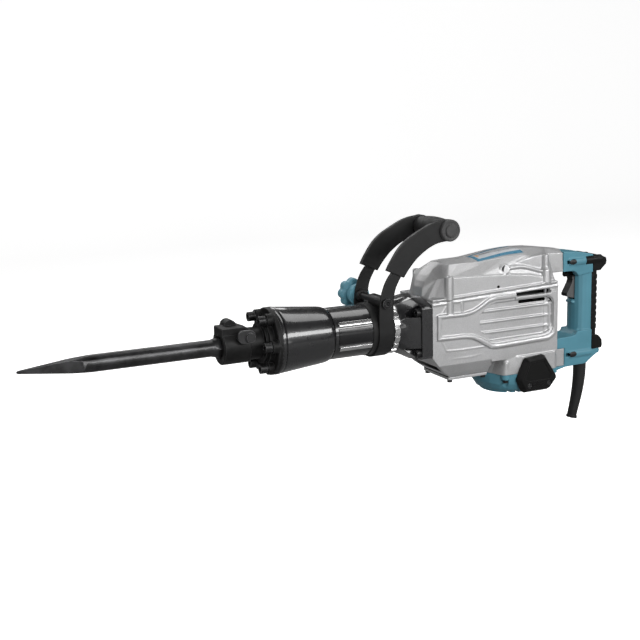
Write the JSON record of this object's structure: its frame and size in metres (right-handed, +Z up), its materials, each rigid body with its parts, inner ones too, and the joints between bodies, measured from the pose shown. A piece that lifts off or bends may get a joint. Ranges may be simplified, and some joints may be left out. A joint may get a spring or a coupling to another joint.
{
  "type": "electric jackhammer",
  "caption": "Corded electric demolition hammer with hex chisel, glossy barrel, cast housing, swivelling front handle and rear D handle with trigger.",
  "frame": {"origin": "centre of the tool holder's mouth, on the barrel axis", "axes": "+X along the barrel axis to the rear handle (the chisel points to -X), +Z up towards the gear cover, +Y to the clamp knob's side"},
  "size_m": [1.095, 0.163, 0.4144],
  "materials": {
    "tool_steel": "dark forged steel, satin",
    "dark_cast": "black oxide cast steel, satin",
    "dark_steel": "blackened steel, satin",
    "black_screws": "black oxide screws",
    "zinc_screws": "zinc plated screws",
    "black_gloss": "gloss black enamel on cast metal",
    "ground_steel": "ground steel",
    "gear_steel": "hardened steel",
    "buffer_rubber": "matte nitrile rubber",
    "grip_rubber": "matte black rubber",
    "piston_alloy": "machined aluminium",
    "lamination": "stacked laminations",
    "copper": "copper",
    "carbon": "carbon graphite",
    "plate_black": "blank gloss black plate",
    "bright_metal": "bare bright aluminium",
    "black_satin": "satin black powder coat on steel",
    "teal_plastic": "fine textured teal polyamide",
    "black_plastic": "satin black polyamide",
    "trigger_plastic": "dark grey polyamide",
    "cast_alloy": "shot blasted die cast aluminium"
  },
  "bodies": {
    "root": {"tool_holder": "dark_cast", "front_bolts": "black_screws", "front_cover": "black_gloss", "anvil_bush": "ground_steel", "buffer_ring": "buffer_rubber", "cylinder_liner": "ground_steel", "stator": "lamination", "shaft_bearings": "ground_steel", "brush_holders": "copper", "carbon_brushes": "carbon", "cylinder_case": "black_gloss", "flange_bolts": "black_screws", "barrel_plate": "plate_black", "barrel_trim_bars": "bright_metal", "index_ring": "bright_metal", "main_housing": "cast_alloy", "gear_cover": "cast_alloy", "grease_plug": "cast_alloy", "cover_screws": "zinc_screws", "crankcase_gasket": "buffer_rubber", "crankcase_cover": "cast_alloy", "crankcase_cover_screws": "black_screws", "tail_cover": "teal_plastic", "tail_screws": "black_screws", "brush_covers": "black_plastic", "brush_cover_screws": "black_screws", "handle_front_shell": "teal_plastic", "handle_rear_cover": "grip_rubber", "handle_screws": "black_screws", "switch_body": "black_plastic", "cord_guard": "grip_rubber"},
    "chisel": {"chisel": "tool_steel"},
    "anvil": {"anvil": "ground_steel"},
    "striker": {"striker": "ground_steel"},
    "piston": {"piston": "piston_alloy", "piston_ring": "buffer_rubber", "piston_pin": "ground_steel"},
    "rod": {"connecting_rod": "piston_alloy", "crank_pin": "ground_steel"},
    "crank": {"crankshaft": "gear_steel", "crank_gear": "gear_steel"},
    "intermediate": {"intermediate_gear": "gear_steel", "intermediate_shaft": "gear_steel"},
    "armature": {"armature_shaft": "gear_steel", "armature_core": "lamination", "commutator": "copper", "cooling_fan": "black_plastic"},
    "retainer": {"tool_retainer": "dark_steel"},
    "front_handle": {"handle_band": "black_satin", "clamp_liner": "buffer_rubber", "clamp_saddle": "black_satin", "clamp_bolt": "black_screws", "front_arm_left": "black_satin", "front_arm_right": "black_satin", "grip_rod": "dark_steel", "front_grip": "grip_rubber", "grip_end_caps": "black_plastic"},
    "clamp_knob": {"clamp_knob": "teal_plastic"},
    "trigger": {"trigger": "trigger_plastic"},
    "lock_button": {"lock_button": "trigger_plastic"}
  },
  "joints": [
    {"name": "chisel_slide", "type": "slide", "parent": "root", "child": "chisel", "axis": [-1, 0, 0], "range_m": [0, 0.02]},
    {"name": "anvil_slide", "type": "slide", "parent": "root", "child": "anvil", "axis": [-1, 0, 0], "range_m": [0, 0.02]},
    {"name": "striker_slide", "type": "slide", "parent": "root", "child": "striker", "axis": [1, 0, 0], "range_m": [-0.02, 0.008]},
    {"name": "piston_slide", "type": "slide", "parent": "root", "child": "piston", "axis": [1, 0, 0], "range_m": [0, 0.036]},
    {"name": "rod_swing", "type": "hinge", "parent": "piston", "child": "rod", "pos_m": [0.3325, 0, 0], "axis": [0, 0, 1], "range_deg": [-10.9, 10.9]},
    {"name": "crank_spin", "type": "hinge", "parent": "root", "child": "crank", "pos_m": [0.4455, 0, 0.04], "axis": [0, 0, 1], "continuous": true},
    {"name": "intermediate_spin", "type": "hinge", "parent": "root", "child": "intermediate", "pos_m": [0.5105, 0, 0.06], "axis": [0, 0, 1], "continuous": true},
    {"name": "armature_spin", "type": "hinge", "parent": "root", "child": "armature", "pos_m": [0.56, 0, 0], "axis": [0, 0, 1], "continuous": true},
    {"name": "retainer_turn", "type": "hinge", "parent": "root", "child": "retainer", "pos_m": [0.042, -0.03, 0.018], "axis": [0, 1, 0], "range_deg": [0, 180]},
    {"name": "front_handle_swivel", "type": "hinge", "parent": "root", "child": "front_handle", "pos_m": [0.285, 0, 0], "axis": [1, 0, 0], "continuous": true},
    {"name": "clamp_knob_turn", "type": "hinge", "parent": "front_handle", "child": "clamp_knob", "pos_m": [0.285, 0.07, 0.051], "axis": [0, 1, 0], "continuous": true},
    {"name": "trigger_press", "type": "hinge", "parent": "root", "child": "trigger", "pos_m": [0.7125, 0, 0.05], "axis": [0, -1, 0], "range_deg": [0, 9]},
    {"name": "lock_button_press", "type": "slide", "parent": "root", "child": "lock_button", "axis": [1, 0, 0], "range_m": [0, 0.004]}
  ],
  "couplings": [
    {"joint": "anvil_slide", "follows": "chisel_slide", "ratio": 1},
    {"joint": "intermediate_spin", "follows": "crank_spin", "ratio": -3.3333},
    {"joint": "armature_spin", "follows": "crank_spin", "ratio": 15}
  ]
}
